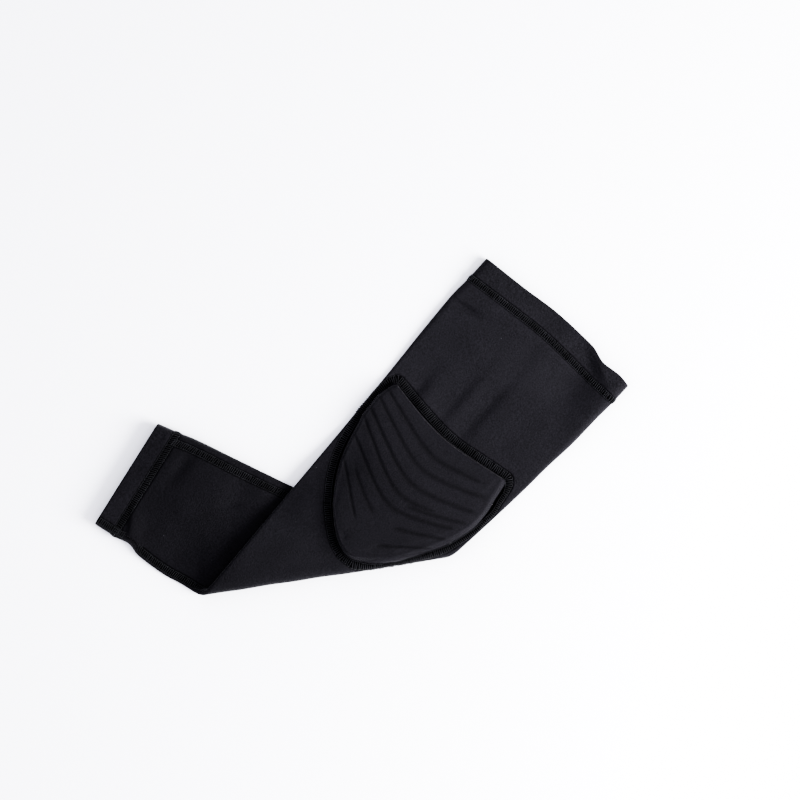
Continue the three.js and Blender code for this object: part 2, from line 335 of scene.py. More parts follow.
def smoothstep(value, low, high):
    """A smooth rise from none at the low value to one at the high value."""
    t = np.clip((value - low) / (high - low), 0, 1)
    return t * t * (3 - 2 * t)


def within(value, start, end, fade):
    """One from a start to an end, and none beyond a fade on either side."""
    return smoothstep(value, start - fade, start) * (1 - smoothstep(value, end, end + fade))


def unit(vectors):
    """Vectors made one long."""
    return vectors / np.linalg.norm(vectors, axis=1, keepdims=True)


def square_to(ways):
    """Ways turned by a right angle."""
    return np.stack([-ways[:, 1], ways[:, 0]], axis=1)


def read(source, key, column, at):
    """Reads a column of a table between its rows, on a smooth curve that never overshoots them."""
    keys = source[key]
    values = source[column]
    rise = np.diff(values) / np.diff(keys)
    same_way = rise[:-1] * rise[1:] > 0
    total = np.where(same_way, rise[:-1] + rise[1:], 1)
    inner = np.where(same_way, 2 * rise[:-1] * rise[1:] / total, 0)
    slope = np.concatenate([rise[:1], inner, rise[-1:]])
    place = np.clip(at, keys[0], keys[-1])
    i = np.clip(np.searchsorted(keys, place, side="right") - 1, 0, len(keys) - 2)
    span = keys[i + 1] - keys[i]
    t = (place - keys[i]) / span
    bend = span * t * (1 - t) * (slope[i] * (1 - t) - slope[i + 1] * t)
    return values[i] + (values[i + 1] - values[i]) * t * t * (3 - 2 * t) + bend


def tube(along):
    """The tube's left edge, right edge and half thickness at places along it."""
    return [read(TUBE, "along", column, along) for column in ("left", "right", "half")]


def mouth_swing(along, share, frontness):
    """How far a place near the upper opening swings along the sleeve."""
    front, back, seam = [read(MOUTH, "share", column, share) for column in ("front", "back", "seam")]
    edge = back + (front - back) * frontness
    seam = seam * frontness
    in_hem = edge + (seam - edge) * along / UPPER_HEM
    past_hem = seam * (1 - smoothstep(along, UPPER_HEM, UPPER_HEM + SWING_REACH))
    return np.where(along < UPPER_HEM, in_hem, past_hem)


def lay_down(along, across, lift, half):
    """Folds points of the unfolded sleeve at the crease and lays them on the table, in millimetres."""
    normal = (1 / SLANT_LENGTH, -CREASE["slant"] / SLANT_LENGTH)
    past = (along - BEND_START) * normal[0] + across * normal[1]
    spare = half - BEND_HALF
    edge = UNDER_EDGE["along"] + UNDER_EDGE["slant"] * across
    clear = (edge - along) / math.hypot(1, UNDER_EDGE["slant"]) - UNDER_EDGE["clear"]
    drop = 2 * BEND_RADIUS * smoothstep(clear, 0, UNDER_EDGE["ramp"])
    turn = np.clip(past, 0, BEND_ARC) / BEND_RADIUS
    shifts = [0 * past, (BEND_RADIUS + lift) * np.sin(turn) - past, BEND_ARC - 2 * past]
    heights = [
        2 * BEND_RADIUS + BEND_HALF + lift + spare - drop,
        BEND_RADIUS + BEND_HALF + (BEND_RADIUS + lift) * np.cos(turn),
        BEND_HALF - lift + spare,
    ]
    stage = [past <= 0, past < BEND_ARC, past >= BEND_ARC]
    shift = np.select(stage, shifts)
    height = np.select(stage, heights)
    x = ORIGIN["along"] - along - shift * normal[0]
    y = ORIGIN["across"] - across - shift * normal[1]
    return np.stack([x, y, height], axis=-1)


def skin(along, reach, above):
    """A place over the cloth on the unfolded tube, as along, across, lift and half thickness."""
    left, right, half = tube(along)
    past_right = reach - (right - half)
    past_left = (left + half) - reach
    past = np.maximum(past_left, past_right)
    side = np.where(past_right > past_left, 1, -1)
    corner = np.where(side > 0, right - half, left + half)
    turn = np.clip(past / half, 0, math.pi)
    beyond = np.maximum(past - math.pi * half, 0)
    round_edge = corner + side * ((half + above) * np.sin(turn) - beyond)
    across = np.where(past > 0, round_edge, reach)
    frontness = (1 + np.cos(turn)) / 2
    swing = mouth_swing(along, (across - left) / (right - left), frontness)
    return along + swing, across, (half + above) * np.cos(turn), half


def dent_depth(dents, along, across):
    """How deep the cloth is dented at a place."""
    depth = 0 * along
    for row in zip(*dents.values()):
        middle, aside, turn, length, left, right, deep = row
        cos = math.cos(math.radians(turn))
        sin = math.sin(math.radians(turn))
        lengthwise = ((along - middle) * cos + (across - aside) * sin) / length
        offset = (across - aside) * cos - (along - middle) * sin
        sideways = offset / np.where(offset < 0, left, right)
        depth = depth + deep * np.exp(-(lengthwise**2) - sideways**2)
    return depth


def ripple_height(along, across):
    """The long shallow ripples of cloth that lies loose."""
    height = 0 * along
    for wave, heading, phase, high in zip(*RIPPLES.values()):
        turn = math.radians(heading)
        travel = along * math.sin(turn) + across * math.cos(turn)
        height = height + high * np.sin(2 * math.pi * travel / wave + phase)
    return height


def pucker_height(travel, gap):
    """The puckers of cloth at a travel along a seam and a gap from it."""
    height = 0 * travel
    for wave, phase, high in zip(*PUCKERS.values()):
        height = height + high * np.sin(2 * math.pi * travel / wave + phase)
    return height * np.exp(-((gap / PUCKER_REACH) ** 2))


def relief(along, reach):
    """How far the cloth stands above the plain tube at a place."""
    left, right, half = tube(along)
    _, across, lift, _ = skin(along, reach, 0)
    front = smoothstep(lift / half, 0, 1)
    back = smoothstep(-lift / half, 0, 1)
    dents = front * dent_depth(FRONT_DENTS, along, across) + back * dent_depth(BACK_DENTS, along, across)
    waves = ripple_height(along, across)
    waves = waves + pucker_height(reach, along - UPPER_STITCH) + pucker_height(reach, along - WRIST_STITCH)
    for seam in (left + SEAM_INSET["left"], right - SEAM_INSET["right"]):
        waves = waves + back * pucker_height(along, across - seam)
    pad_gap, travel, _ = pad_seam_place(np.stack([along, reach], axis=-1))
    waves = waves + front * pucker_height(travel, pad_gap + BAND["width"] / 2)
    return waves * (front + back) - dents


def settle(points):
    """Lets the drooping edges down towards the table."""
    along = ORIGIN["along"] - points[..., 0]
    across = ORIGIN["across"] - points[..., 1]
    kept = 1 + 0 * along
    for middle, aside, length, width, share in zip(*PRESSED.values()):
        away = ((along - middle) / length) ** 2 + ((across - aside) / width) ** 2
        kept = kept - share * np.exp(-away)
    return points * np.stack([0 * kept + 1, 0 * kept + 1, kept], axis=-1)


def rest_on_table(points, rest):
    """Flattens whatever would go into the table."""
    lowest = np.array([-np.inf, -np.inf, rest])
    return np.maximum(points, lowest)


def laid(along, reach, above):
    """The laid-down place of a point above the plain tube."""
    return settle(lay_down(*skin(along, reach, above)))


def on_cloth(along, reach, above):
    """The laid-down place of a point over the rippled and dented cloth."""
    return laid(along, reach, above + relief(along, reach))


def back_reach(along, across):
    """The reach, round the right edge, of a place across the back."""
    _, right, half = tube(along)
    return right - half + math.pi * half + (right - half - across)


def grid_quads(rows, columns, ring=False, loop=False):
    """Quads of a grid whose columns may close into a ring, and its rows into a loop."""
    row, column = np.meshgrid(
        np.arange(rows if loop else rows - 1),
        np.arange(columns if ring else columns - 1),
        indexing="ij",
    )
    row, column = row.ravel(), column.ravel()
    below = (row + 1) % rows
    beside = (column + 1) % columns
    corners = [row * columns + column, below * columns + column]
    corners += [below * columns + beside, row * columns + beside]
    return np.stack(corners, axis=1)


def wall_faces(quads, count):
    """The outer quads, the inner ones turned round, and a rim along every open edge."""
    edges = np.concatenate([quads[:, [i, (i + 1) % 4]] for i in range(4)])
    ahead = edges[:, 0] * count + edges[:, 1]
    back = edges[:, 1] * count + edges[:, 0]
    rim = edges[~np.isin(ahead, back)]
    rim_quads = np.stack([rim[:, 1], rim[:, 0], rim[:, 0] + count, rim[:, 1] + count], axis=1)
    return np.concatenate([quads, quads[:, ::-1] + count, rim_quads])


def add_object(name, data):
    """A new object in the scene."""
    thing = bpy.data.objects.new(name, data)
    bpy.context.scene.collection.objects.link(thing)
    return thing


def smooth_mesh(name, points, faces, material):
    """A mesh with smooth faces, in metres."""
    mesh = bpy.data.meshes.new(name)
    mesh.from_pydata(points.tolist(), [], faces)
    mesh.polygons.foreach_set("use_smooth", np.ones(len(mesh.polygons), bool))
    mesh.materials.append(material)
    return mesh


def keep_with_points(mesh, name, values):
    """Keeps a number or a vector with every point of a mesh."""
    kind, field = ("FLOAT", "value") if values.ndim == 1 else ("FLOAT_VECTOR", "vector")
    attribute = mesh.attributes.new(name, kind, "POINT")
    attribute.data.foreach_set(field, values.astype(np.float32).ravel())


def make_piece(name, points, faces, cloth_map, material, seam_gap):
    """A smooth mesh in metres with a map of its cloth, also in metres."""
    used, flat_faces = np.unique(faces, return_inverse=True)
    mesh = smooth_mesh(name, points[used] * MM, flat_faces.reshape(faces.shape).tolist(), material)
    corner_vertex = np.zeros(len(mesh.loops), np.int32)
    mesh.loops.foreach_get("vertex_index", corner_vertex)
    layer = mesh.uv_layers.new(name="cloth_map")
    layer.data.foreach_set("uv", (cloth_map[used] * MM)[corner_vertex].astype(np.float32).ravel())
    keep_with_points(mesh, "seam_gap", seam_gap[used])
    mesh.validate()
    return add_object(name, mesh)


def make_wall(name, outer, inner, quads, cloth_map, material, seam_gap):
    """A piece with an outer and an inner surface, and a rim between them."""
    points = np.concatenate([outer, inner])
    cloth_map = np.concatenate([cloth_map, cloth_map])
    seam_gap = np.concatenate([seam_gap, seam_gap])
    return make_piece(name, points, wall_faces(quads, len(outer)), cloth_map, material, seam_gap)


def pad_place(middle, share):
    """A place on the pad: on the curve through a middle, at a share of its half width."""
    side = read(PAD_CURVES, "middle", "side", middle)
    turn = read(PAD_CURVES, "middle", "round", middle)
    left = read(PAD_EDGE, "along", "left", side)
    right = read(PAD_EDGE, "along", "right", side)
    half = np.where(share < 0, left, right)
    sag = 1 - (np.hypot(share, turn) - turn) / (np.hypot(1, turn) - turn)
    lean = read(PAD_CURVES, "middle", "lean", middle) * np.maximum(share, 0) ** 2
    return side + (middle - side) * sag + lean, PAD["axis"] + half * share, half


def spaced(line, step, closed=False):
    """Places at even steps along a line, with the way that the line runs there."""
    if closed:
        line = np.vstack([line, line[:1]])
    gone = np.concatenate([[0], np.cumsum(np.linalg.norm(np.diff(line, axis=0), axis=1))])
    count = max(round(gone[-1] / step), 2)
    at = (np.arange(count) + 0.5) / count * gone[-1]

    def place(where):
        where = where % gone[-1] if closed else np.clip(where, 0, gone[-1])
        return np.stack([np.interp(where, gone, line[:, k]) for k in (0, 1)], axis=1)

    return place(at), unit(place(at + step / 2) - place(at - step / 2))


def pad_outline():
    """The pad's outline as a closed line of even steps on the unfolded sleeve, and the ways out of it."""
    steps = np.linspace(0, 1, OUTLINE_CUTS, endpoint=False)
    down = PAD["top"] + (PAD["tip"] - PAD["top"]) * steps
    up = PAD["tip"] - (PAD["tip"] - PAD["top"]) * steps
    one = np.ones(len(steps))
    top = (PAD["top"] * one, 2 * steps - 1)
    tip = (PAD["tip"] * one, 1 - 2 * steps)
    sides = [top, (down, one), tip, (up, -one)]
    line = np.concatenate([np.stack(pad_place(*side)[:2], axis=1) for side in sides])
    places, ways = spaced(line, OUTLINE_STEP, closed=True)
    shifts = range(-OUTLINE_SMOOTH, OUTLINE_SMOOTH + 1)
    ways = sum(np.roll(ways, shift, axis=0) for shift in shifts)
    return places, square_to(unit(ways))


def seam_round_pad():
    """The gap between the pad and its seam, and the seam's width, at each point of the outline."""
    share = np.arange(len(PAD_LINE)) / len(PAD_LINE)
    return read(PAD_SEAM, "share", "gap", share), read(PAD_SEAM, "share", "width", share)


def nearest_on(line, places):
    """The index of the nearest point of a dense line to each place, and how far away it is."""
    flat = places.reshape(-1, 2)
    nearest = np.zeros(len(flat), int)
    for start in range(0, len(flat), CHUNK):
        part = flat[start : start + CHUNK]
        away = ((part[:, None] - line[None]) ** 2).sum(2)
        nearest[start : start + CHUNK] = away.argmin(1)
    away = np.linalg.norm(flat - line[nearest], axis=1)
    return nearest.reshape(places.shape[:-1]), away.reshape(places.shape[:-1])


def pad_seam_place(places):
    """How far places are outside the pad's seam, how far on round it, and how far off the pad."""
    nearest, away = nearest_on(PAD_LINE, places)
    gap, width = seam_round_pad()
    return away - (gap + width)[nearest], nearest * OUTLINE_STEP, away


def inside(line, places):
    """Which places lie inside a closed line."""
    crossed = np.zeros(len(places), bool)
    for a, b in zip(line, np.roll(line, -1, axis=0)):
        spans = (a[0] > places[:, 0]) != (b[0] > places[:, 0])
        if a[0] != b[0]:
            meets = a[1] + (places[:, 0] - a[0]) / (b[0] - a[0]) * (b[1] - a[1])
            crossed ^= spans & (places[:, 1] < meets)
    return crossed


def sheet_wall(name, along, reach, quads, material, seam_gap, sunk=0.0):
    """A wall of cloth with its outer surface at places over the sleeve."""
    rise = relief(along, reach) - sunk
    outer, inner = [rest_on_table(laid(along, reach, rise - deep), CLOTH_REST) for deep in (0, PLY)]
    return make_wall(name, outer, inner, quads, np.stack([reach, along], axis=1), material, seam_gap)


def row_places():
    """Places along the two panels, from the upper hem to the wrist hem."""
    start = UPPER_HEM + GAP
    end = LENGTH - WRIST_HEM - GAP
    return np.linspace(start, end, round((end - start) / ROW_STEP) + 1)


def seam_reach(along):
    """Reach of the left and of the right long seam, each round its own edge of the tube."""
    left, right, half = tube(along)
    spare = (math.pi - 2) * half
    return left - spare - SEAM_INSET["left"], right + spare + SEAM_INSET["right"]


def divided(stops, cuts):
    """Columns from the first stop to the last, with a number of even cuts from each one to the next."""
    columns = [stops[0]]
    for low, high, count in zip(stops, stops[1:], cuts):
        columns += [low + (high - low) * n / count for n in range(1, count + 1)]
    return np.stack(columns, axis=1)


def front_columns(along):
    """Reach of the front panel's columns: from one long seam, round both edges, to the other."""
    left, right, half = tube(along)
    start, end = seam_reach(along)
    return divided([start, left + half, right - half, end], [EDGE_CUTS, FRONT_CUTS, EDGE_CUTS])


def hem_gap(along):
    """How far a place is from the nearer hem's seam."""
    return np.minimum(np.abs(along - UPPER_STITCH), np.abs(along - WRIST_STITCH))


def covered(along):
    """A gap added beside the left long seam where puffed cloth covers it, keeping the seam's painted shade
    off it.
    """
    return 2 * BAND["width"] * within(along, *COVERED_SEAM, BAND["width"] / 2)


def front_cloth(material):
    """The elbow side of the tube, with a hole for the pad."""
    rows = row_places()
    reach = front_columns(rows)
    along = np.repeat(rows[:, None], reach.shape[1], axis=1)
    side_gap = np.minimum(reach - reach[:, :1] + covered(along), reach[:, -1:] - reach)
    quads = grid_quads(*reach.shape)
    places = np.stack([along.ravel(), reach.ravel()], axis=1)
    hole = PAD_LINE + GAP * PAD_OUT
    hidden = inside(hole, places)
    quads = quads[~hidden[quads].all(axis=1)]
    edge, _ = nearest_on(hole, places)
    places[hidden] = hole[edge[hidden]]
    pad_gap, _, away = pad_seam_place(places)
    trench = TRENCH["depth"] * np.exp(-((away / TRENCH["reach"]) ** 2))
    # seam_gap: how far from a seam band, where painted shade darkens the cloth
    in_band = np.maximum(pad_gap + BAND["width"] / 2, 0)
    seam_gap = np.min([in_band, side_gap.ravel(), hem_gap(places[:, 0])], axis=0)
    return sheet_wall("front_cloth", *places.T, quads, material, seam_gap, trench)


def back_cloth(material):
    """The inner-arm side of the tube, between the two long seams."""
    rows = row_places()
    left, right, _ = tube(rows)
    shares = np.linspace(0, 1, BACK_CUTS + 1)
    start = right - SEAM_INSET["right"] - GAP
    end = left + SEAM_INSET["left"] + GAP
    across = start[:, None] + (end - start)[:, None] * shares
    along = np.repeat(rows[:, None], len(shares), axis=1)
    reach = back_reach(along, across)
    side_gap = np.minimum(across - across[:, -1:] + covered(along), across[:, :1] - across)
    seam_gap = np.minimum(side_gap, hem_gap(along)).ravel()
    quads = grid_quads(*reach.shape)
    return sheet_wall("back_cloth", along.ravel(), reach.ravel(), quads, material, seam_gap)


def ring_stops(along):
    """Reach of the stops round the tube, from the middle of the back to the middle of the back."""
    left, right, half = tube(along)
    turn = math.pi * half
    flat = right - left - 2 * half
    stops = [left + half - turn - flat / 2, left + half - turn, left + half]
    return stops + [right - half, right - half + turn, right - half + turn + flat / 2]


def hem_cloth(name, seam, free, material):
    """A hem turned double, from its seam to its rounded free edge and back inside."""
    inwards = 1 if free < seam else -1
    rows = np.linspace(seam, free + inwards * PLY, round(abs(seam - free) / ROW_STEP) + 1)
    turns = np.linspace(0, math.pi, HEM_EDGE_CUTS)[1:-1]
    along = np.concatenate([rows, free + inwards * PLY * (1 - np.sin(turns)), rows[::-1]])
    depth = np.concatenate([0 * rows, PLY * (1 - np.cos(turns)), 2 * PLY + 0 * rows])
    cuts = [BACK_CUTS // 2, TURN_CUTS, FRONT_CUTS, TURN_CUTS, BACK_CUTS // 2]
    reach = divided(ring_stops(along), cuts)[:, :-1]
    quads = grid_quads(*reach.shape, ring=True, loop=True)
    if inwards > 0:
        quads = quads[:, ::-1]
    along, depth = [np.repeat(column, reach.shape[1]) for column in (along, depth)]
    reach = reach.ravel()
    points = rest_on_table(laid(along, reach, relief(along, reach) - depth), CLOTH_REST)
    cloth_map = np.stack([reach, along], axis=1)
    seam_gap = np.minimum(hem_gap(along), np.abs(reach - seam_reach(along)[0]))
    return make_piece(name, points, quads, cloth_map, material, seam_gap)


def pad_height(middle, share):
    """How high the pad stands above the cloth: a rounded lip and a crowned top."""
    _, _, half = pad_place(middle, share)
    down = smoothstep(middle, *WIDER_LIP["down"])
    aside = smoothstep(share, *WIDER_LIP["across"])
    right_lip = PAD_LIP["right"] + (PAD_LIP["low_right"] - PAD_LIP["right"]) * down
    tip_lip = PAD_LIP["tip"] + (PAD_LIP["tip_right"] - PAD_LIP["tip"]) * aside
    sides = [
        (1 + share) * half / PAD_LIP["left"],
        (1 - share) * half / right_lip,
        (middle - PAD["top"]) / PAD_LIP["top"],
        (PAD["tip"] - middle) / tip_lip,
    ]
    near = sum(np.maximum(side, SMALL) ** -CORNER_BLEND for side in sides) ** (-1 / CORNER_BLEND)
    away = 1 - np.clip(near, 0, 1)
    height = PAD["foot"] + (PAD["height"] - PAD["foot"]) * (1 - away ** PAD_LIP["power"])
    return height + PAD["crown"] * (1 - share**2) * (1 - away)


def pad_grooves(middle, share):
    """How deep the grooves are pressed into the pad, and how far each place is from the nearest one, for
    their painted shade.
    """
    depth = 0 * middle
    gap = 0 * middle + GROOVE["shade_reach"]
    for centre, tilt, bend, start, end, deep in zip(*GROOVES.values()):
        away = np.abs(middle - (centre + tilt * share + bend * share**2))
        there = within(share, start, end, GROOVE["fade"])
        near = np.clip(1 - away / GROOVE["reach"], 0, 1)
        hollow = 0.5 - 0.5 * np.cos(math.pi * near)
        depth = np.maximum(depth, GROOVE["depth"] * deep * hollow * there)
        gap = np.minimum(gap, away + GROOVE["shade_reach"] * (1 - there))
    return depth, gap


def pad_grid():
    """Middles and shares of a grid over the pad, close together at its lip."""
    edge = PAD_CUTS["edge"]
    lip = edge * PAD_LIP_CUTS
    inner = np.linspace(PAD["top"] + edge, PAD["tip"] - edge, PAD_CUTS["rows"])
    middle = np.concatenate([PAD["top"] + lip, inner, PAD["tip"] - lip[::-1]])
    half = pad_place(middle, 0 * middle)[2][:, None]
    rim = 1 - lip[None, :] / half
    flat = (1 - edge / half) * np.linspace(-1, 1, PAD_CUTS["columns"])[None, :]
    share = np.concatenate([-rim, flat, rim[:, ::-1]], axis=1)
    return np.repeat(middle[:, None], share.shape[1], axis=1), share


def held_at_foot(share):
    """Which places of the pad's cover are held down: the outermost rows on every side."""
    inner = slice(SWELL["held_rows"], -SWELL["held_rows"])
    held = np.ones(share.shape, bool)
    held[inner, inner] = False
    return held


def smoothed(grid, times):
    """A grid of vectors, each moved to the mean of its neighbours several times over, except at the rim."""
    for _ in range(times):
        around = grid[:-2, 1:-1] + grid[2:, 1:-1] + grid[1:-1, :-2] + grid[1:-1, 2:]
        grid = grid.copy()
        grid[1:-1, 1:-1] = grid[1:-1, 1:-1] / 2 + around / 8
    return grid


def eased_at_rim(shape):
    """A share for every place of a grid: none on its rim, rising to one a few rows in."""
    row, column = np.indices(shape)
    inwards = np.min([row, column, shape[0] - 1 - row, shape[1] - 1 - column], axis=0)
    return smoothstep(inwards, 1, SWELL["ease"])


def swell(points, held):
    """Blows a grid of cloth up from below: the held points stay, and the others rise up to a cap."""
    scene = bpy.context.scene
    mesh = bpy.data.meshes.new("swelling_cloth")
    mesh.from_pydata((points.reshape(-1, 3) * MM).tolist(), [], grid_quads(*held.shape).tolist())
    cloth = add_object("swelling_cloth", mesh)
    group = cloth.vertex_groups.new(name="held")
    group.add(np.flatnonzero(held).tolist(), 1.0, "REPLACE")
    modifier = cloth.modifiers.new("swelling", "CLOTH")
    settings = modifier.settings
    settings.quality = SWELL["quality"]
    settings.mass = SWELL["mass"]
    settings.tension_stiffness = SWELL["stiffness"]
    settings.compression_stiffness = SWELL["stiffness"]
    settings.use_pressure = True
    settings.uniform_pressure_force = SWELL["pressure"]
    settings.vertex_group_mass = "held"
    settings.effector_weights.gravity = 0
    modifier.collision_settings.use_collision = False
    modifier.point_cache.frame_end = SWELL["frames"]
    for number in range(1, SWELL["frames"] + 1):
        scene.frame_set(number)
    graph = bpy.context.evaluated_depsgraph_get()
    swollen = np.zeros(points.size, np.float32)
    cloth.evaluated_get(graph).data.vertices.foreach_get("co", swollen)
    move = smoothed((swollen / MM - points.ravel()).reshape(points.shape), SWELL["smooth"])
    far = np.linalg.norm(move, axis=-1, keepdims=True)
    capped = np.minimum(1, SWELL["cap"] / np.maximum(far, SMALL))
    move = move * capped * eased_at_rim(held.shape)[..., None]
    scene.frame_set(1)
    bpy.data.objects.remove(cloth)
    bpy.data.meshes.remove(mesh)
    return points + move


def halved(grid):
    """A grid of points with a point added half way between neighbours, on a smooth curve."""
    for axis in (0, 1):
        grid = np.swapaxes(grid, 0, axis)
        before = np.concatenate([2 * grid[:1] - grid[1:2], grid[:-2]])
        after = np.concatenate([grid[2:], 2 * grid[-1:] - grid[-2:-1]])
        between = (9 * (grid[:-1] + grid[1:]) - before - after) / 16
        fine = np.empty((len(grid) + len(between), *grid.shape[1:]))
        fine[::2] = grid
        fine[1::2] = between
        grid = np.swapaxes(fine, 0, axis)
    return grid


def pad_cover(material):
    """The foam pad in its cover, with grooves between its ribs, and its foot in the front cloth's hole."""
    middle, share = pad_grid()
    along, across, _ = pad_place(middle, share)
    half = tube(along)[2]
    top = lay_down(along, across, half, half)
    top[..., 2] = top[..., 2] + pad_height(middle, share)
    top = halved(swell(settle(top), held_at_foot(share)))
    depth, gap = pad_grooves(*np.moveaxis(halved(np.stack([middle, share], axis=-1)), -1, 0))
    top[..., 2] = top[..., 2] - depth
    quads = grid_quads(*top.shape[:2])
    bottom = halved(settle(lay_down(along, across, half - PLY, half)))
    cloth_map = halved(np.stack([across, along], axis=-1)).reshape(-1, 2)
    outer, inner = top.reshape(-1, 3), bottom.reshape(-1, 3)
    # The grooves' gap sets where painted shade darkens the pad's cover
    return make_wall("pad_cover", outer, inner, quads, cloth_map, material, gap.ravel())


def on_sleeve(places, ways, above):
    """Stitches on the cloth: their places, the way each thread runs, and the way out of the cloth."""
    at = on_cloth(places[:, 0], places[:, 1], above)
    ahead = places + SMALL * ways
    heading = on_cloth(ahead[:, 0], ahead[:, 1], above) - at
    out = on_cloth(places[:, 0], places[:, 1], above + SMALL) - at
    return at, unit(heading), unit(out)


def join(tree, source, target):
    """Links a socket to a target, or sets the target where the source is a plain value."""
    if isinstance(source, bpy.types.NodeSocket):
        tree.links.new(source, target)
    else:
        target.default_value = source


def feed(tree, node, sources):
    """Joins sockets and plain values to a node's inputs, by their names or numbers."""
    for key, source in sources.items():
        join(tree, source, node.inputs[key])


def add_node(tree, kind, sources=None, **settings):
    """A new node with some of its settings and inputs: its outputs."""
    node = tree.nodes.new(kind)
    for name, value in settings.items():
        setattr(node, name, value)
    feed(tree, node, sources or {})
    return node.outputs


def sum_of(tree, operation, *terms):
    """A math node over sockets and numbers."""
    return add_node(tree, "ShaderNodeMath", dict(enumerate(terms)), operation=operation)[0]


def vector_of(tree, *terms):
    """A vector from three sockets or numbers."""
    return add_node(tree, "ShaderNodeCombineXYZ", dict(enumerate(terms)))[0]


def scaled(tree, colour, share):
    """A colour made deeper or paler by a share."""
    return add_node(tree, "ShaderNodeVectorMath", {0: colour, "Scale": share}, operation="SCALE")[0]


def eased(tree, value, start, end, low, high):
    """A smooth change from low to high while a value goes from a start to an end."""
    sources = {"Value": value, "From Min": start, "From Max": end, "To Min": low, "To Max": high}
    return add_node(tree, "ShaderNodeMapRange", sources, interpolation_type="SMOOTHSTEP")["Result"]


def of_type(sockets, kind):
    """Those sockets that are of one type."""
    return [socket for socket in sockets if socket.type == kind]


def new_group(name, kind, inputs, outputs):
    """A node group with the types of its sockets: the group, what it is given and its result."""
    group = bpy.data.node_groups.new(name, kind)
    for in_out, sockets in (("INPUT", inputs), ("OUTPUT", outputs)):
        for socket, socket_type in sockets.items():
            group.interface.new_socket(socket, in_out=in_out, socket_type="NodeSocket" + socket_type)
    return group, add_node(group, "NodeGroupInput"), group.nodes.new("NodeGroupOutput")


def stitch_arch(tree, given):
    """One arched stitch of round thread, with its ends sunk in the cloth."""
    half = sum_of(tree, "MULTIPLY", given["Length"], 0.5)
    sunk = sum_of(tree, "MULTIPLY", given["Thread Radius"], -1.0)
    crest = sum_of(tree, "MULTIPLY", given["Rise"], 2.0)
    curve = {
        "Resolution": STITCH_CUTS,
        "Start": vector_of(tree, sum_of(tree, "MULTIPLY", half, -1.0), 0.0, sunk),
        "Middle": vector_of(tree, 0.0, 0.0, crest),
        "End": vector_of(tree, half, 0.0, sunk),
    }
    arch = add_node(tree, "GeometryNodeCurveQuadraticBezier", curve)[0]
    circle = {"Resolution": STITCH_CUTS, "Radius": given["Thread Radius"]}
    ring = add_node(tree, "GeometryNodeCurvePrimitiveCircle", circle)[0]
    sweep = {"Curve": arch, "Profile Curve": ring, "Fill Caps": True}
    stitch = add_node(tree, "GeometryNodeCurveToMesh", sweep)[0]
    return add_node(tree, "GeometryNodeSetShadeSmooth", {"Geometry": stitch})[0]


def kept_value(tree, name, kind):
    """What is kept with every place under a name."""
    return add_node(tree, "GeometryNodeInputNamedAttribute", {"Name": name}, data_type=kind)["Attribute"]


def stitch_turn(tree, given):
    """The turn of each stitch: to its heading and out of the cloth, with a small random twist."""
    ways = {n: kept_value(tree, name, "FLOAT_VECTOR") for n, name in enumerate(("heading", "out"))}
    facing = add_node(tree, "FunctionNodeAxesToRotation", ways, primary_axis="X", secondary_axis="Z")[0]
    chance = tree.nodes.new("FunctionNodeRandomValue")
    chance.data_type = "FLOAT"
    low, high = of_type(chance.inputs, "VALUE")[:2]
    join(tree, sum_of(tree, "MULTIPLY", given["Turn Spread"], -1.0), low)
    join(tree, given["Turn Spread"], high)
    join(tree, given["Seed"], chance.inputs["Seed"])
    angle = of_type(chance.outputs, "VALUE")[0]
    twist = add_node(tree, "FunctionNodeAxisAngleToRotation", {"Axis": (0, 0, 1), "Angle": angle})[0]
    return add_node(tree, "FunctionNodeRotateRotation", {0: facing, 1: twist}, rotation_space="LOCAL")[0]


def stitch_tree():
    """Geometry nodes that set one arched stitch of thread on every place, turned to its heading."""
    sizes = dict.fromkeys(("Length", "Rise", "Thread Radius", "Turn Spread"), "Float")
    inputs = {"Places": "Geometry", **sizes, "Seed": "Int", "Thread": "Material"}
    tree, given, result = new_group("thread_stitches", "GeometryNodeTree", inputs, {"Stitches": "Geometry"})
    setting_out = {
        "Points": given["Places"],
        "Instance": stitch_arch(tree, given),
        "Rotation": stitch_turn(tree, given),
        "Scale": vector_of(tree, kept_value(tree, "stretch", "FLOAT"), 1.0, 1.0),
    }
    spread = add_node(tree, "GeometryNodeInstanceOnPoints", setting_out)[0]
    real = add_node(tree, "GeometryNodeRealizeInstances", {0: spread})[0]
    thread = {"Geometry": real, "Material": given["Thread"]}
    feed(tree, result, {0: add_node(tree, "GeometryNodeSetMaterial", thread)[0]})
    return tree


def sew(name, tree, rows, material):
    """One piece of thread: rows of stitches, each with places, headings, ways out, stretch and sizes."""
    meshes = []
    for seed, (at, heading, out, stretch, sizes) in enumerate(rows):
        mesh = bpy.data.meshes.new(name + "_places")
        mesh.from_pydata((at * MM).tolist(), [], [])
        for key, kept in {"heading": heading, "out": out, "stretch": stretch}.items():
            keep_with_points(mesh, key, kept)
        carrier = add_object(name + "_places", mesh)
        modifier = carrier.modifiers.new("stitches", "NODES")
        modifier.node_group = tree
        values = {
            "Length": sizes["length"] * MM,
            "Rise": sizes["rise"] * MM,
            "Thread Radius": sizes["thread"] * MM,
            "Turn Spread": SEAM_JITTER["turn"],
            "Seed": seed,
            "Thread": material,
        }
        for item in tree.interface.items_tree:
            if item.in_out == "INPUT" and item.name in values:
                modifier[item.identifier] = values[item.name]
        graph = bpy.context.evaluated_depsgraph_get()
        meshes.append(bpy.data.meshes.new_from_object(carrier.evaluated_get(graph)))
        bpy.data.objects.remove(carrier)
    return joined(name, meshes, material)


